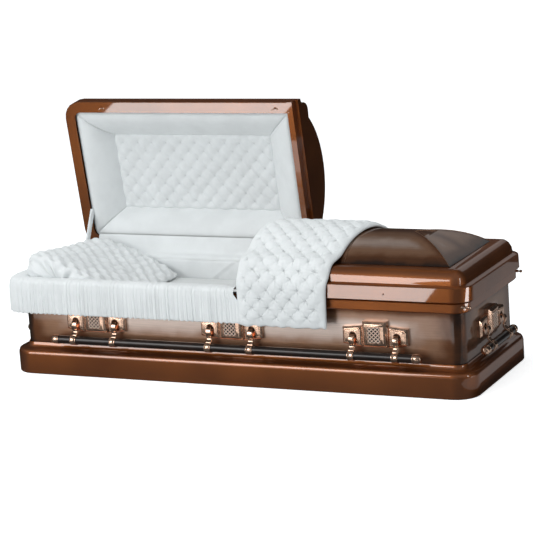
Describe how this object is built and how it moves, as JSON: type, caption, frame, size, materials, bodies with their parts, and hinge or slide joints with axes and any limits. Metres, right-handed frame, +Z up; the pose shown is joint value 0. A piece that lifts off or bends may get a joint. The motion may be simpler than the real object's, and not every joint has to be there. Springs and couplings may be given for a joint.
{
  "type": "funeral casket",
  "caption": "Half-couch sheet-metal casket with a hinged two-part lid, swing-bar handles on every side and a quilted white cloth interior.",
  "frame": {"origin": "middle of the underside, on the plane the casket stands on", "axes": "+X along the casket towards the foot end, -Y the front, where the lids open, +Z up"},
  "size_m": [2.155, 0.8887, 1.0938],
  "materials": {
    "gloss_copper_brown": "gloss",
    "brushed_copper_brown": "brushed under clear lacquer",
    "rose_copper_plate": "polished",
    "dark_bar_enamel": "gloss",
    "white_crepe": "matt crepe",
    "black_rubber": "matt",
    "primed_steel": "satin"
  },
  "bodies": {
    "casket": {"back_apron": "white_crepe", "back_lug_1": "rose_copper_plate", "back_lug_2": "rose_copper_plate", "back_lug_3": "rose_copper_plate", "base_moulding": "gloss_copper_brown", "bed_mattress": "white_crepe", "body_hinge_leaf": "primed_steel", "body_rim": "gloss_copper_brown", "body_shell": "brushed_copper_brown", "bottom_pan": "primed_steel", "corner_cap_back": "rose_copper_plate", "corner_cap_front": "rose_copper_plate", "foot_lug": "rose_copper_plate", "front_lug_1": "rose_copper_plate", "front_lug_2": "rose_copper_plate", "front_lug_3": "rose_copper_plate", "gathered_skirt": "white_crepe", "head_lug": "rose_copper_plate", "pillow": "white_crepe", "rim_gasket": "black_rubber", "side_lining": "white_crepe"},
    "head_lid": {"head_lid_border_padding": "white_crepe", "head_lid_crown": "brushed_copper_brown", "head_lid_hinge_leaf": "primed_steel", "head_lid_quilted_panel": "white_crepe", "head_lid_rim": "gloss_copper_brown"},
    "foot_lid": {"foot_lid_crown": "brushed_copper_brown", "foot_lid_hinge_leaf": "primed_steel", "foot_lid_lining": "white_crepe", "foot_lid_rim": "gloss_copper_brown", "throw": "white_crepe"},
    "prop_arm": {"lid_prop_arm": "white_crepe"},
    "front_handle": {"front_arm_1": "rose_copper_plate", "front_arm_2": "rose_copper_plate", "front_arm_3": "rose_copper_plate", "front_arm_4": "rose_copper_plate", "front_arm_5": "rose_copper_plate", "front_arm_6": "rose_copper_plate", "front_bar": "dark_bar_enamel", "front_bar_tip_a": "rose_copper_plate", "front_bar_tip_b": "rose_copper_plate"},
    "back_handle": {"back_arm_1": "rose_copper_plate", "back_arm_2": "rose_copper_plate", "back_arm_3": "rose_copper_plate", "back_arm_4": "rose_copper_plate", "back_arm_5": "rose_copper_plate", "back_arm_6": "rose_copper_plate", "back_bar": "dark_bar_enamel", "back_bar_tip_a": "rose_copper_plate", "back_bar_tip_b": "rose_copper_plate"},
    "head_handle": {"head_arm_1": "rose_copper_plate", "head_arm_2": "rose_copper_plate", "head_bar": "dark_bar_enamel", "head_bar_tip_a": "rose_copper_plate", "head_bar_tip_b": "rose_copper_plate"},
    "foot_handle": {"foot_arm_1": "rose_copper_plate", "foot_arm_2": "rose_copper_plate", "foot_bar": "dark_bar_enamel", "foot_bar_tip_a": "rose_copper_plate", "foot_bar_tip_b": "rose_copper_plate"}
  },
  "joints": [
    {"name": "head_lid_hinge", "type": "hinge", "parent": "casket", "child": "head_lid", "pos_m": [0, 0.3607, 0.389], "axis": [1, 0, 0], "range_deg": [0, 81.2], "deforming": ["gathered_skirt", "throw", "pillow", "back_apron"]},
    {"name": "foot_lid_hinge", "type": "hinge", "parent": "casket", "child": "foot_lid", "pos_m": [0, 0.3607, 0.389], "axis": [1, 0, 0], "range_deg": [-81.2, 0], "deforming": ["throw"]},
    {"name": "prop_pivot", "type": "hinge", "parent": "head_lid", "child": "prop_arm", "pos_m": [-1.0005, 0.3414, 0.5725], "axis": [1, 0, 0], "range_deg": [-143.6, 0]},
    {"name": "front_handle_swing", "type": "hinge", "parent": "casket", "child": "front_handle", "pos_m": [0, -0.3287, 0.239], "axis": [-1, 0, 0], "range_deg": [0, 80]},
    {"name": "back_handle_swing", "type": "hinge", "parent": "casket", "child": "back_handle", "pos_m": [0, 0.3287, 0.239], "axis": [1, 0, 0], "range_deg": [0, 80]},
    {"name": "foot_handle_swing", "type": "hinge", "parent": "casket", "child": "foot_handle", "pos_m": [1.038, 0, 0.239], "axis": [0, -1, 0], "range_deg": [0, 80]},
    {"name": "head_handle_swing", "type": "hinge", "parent": "casket", "child": "head_handle", "pos_m": [-1.038, 0, 0.239], "axis": [0, 1, 0], "range_deg": [0, 80]}
  ],
  "couplings": [
    {"joint": "prop_pivot", "follows": "head_lid_hinge", "ratio": -1.768}
  ]
}
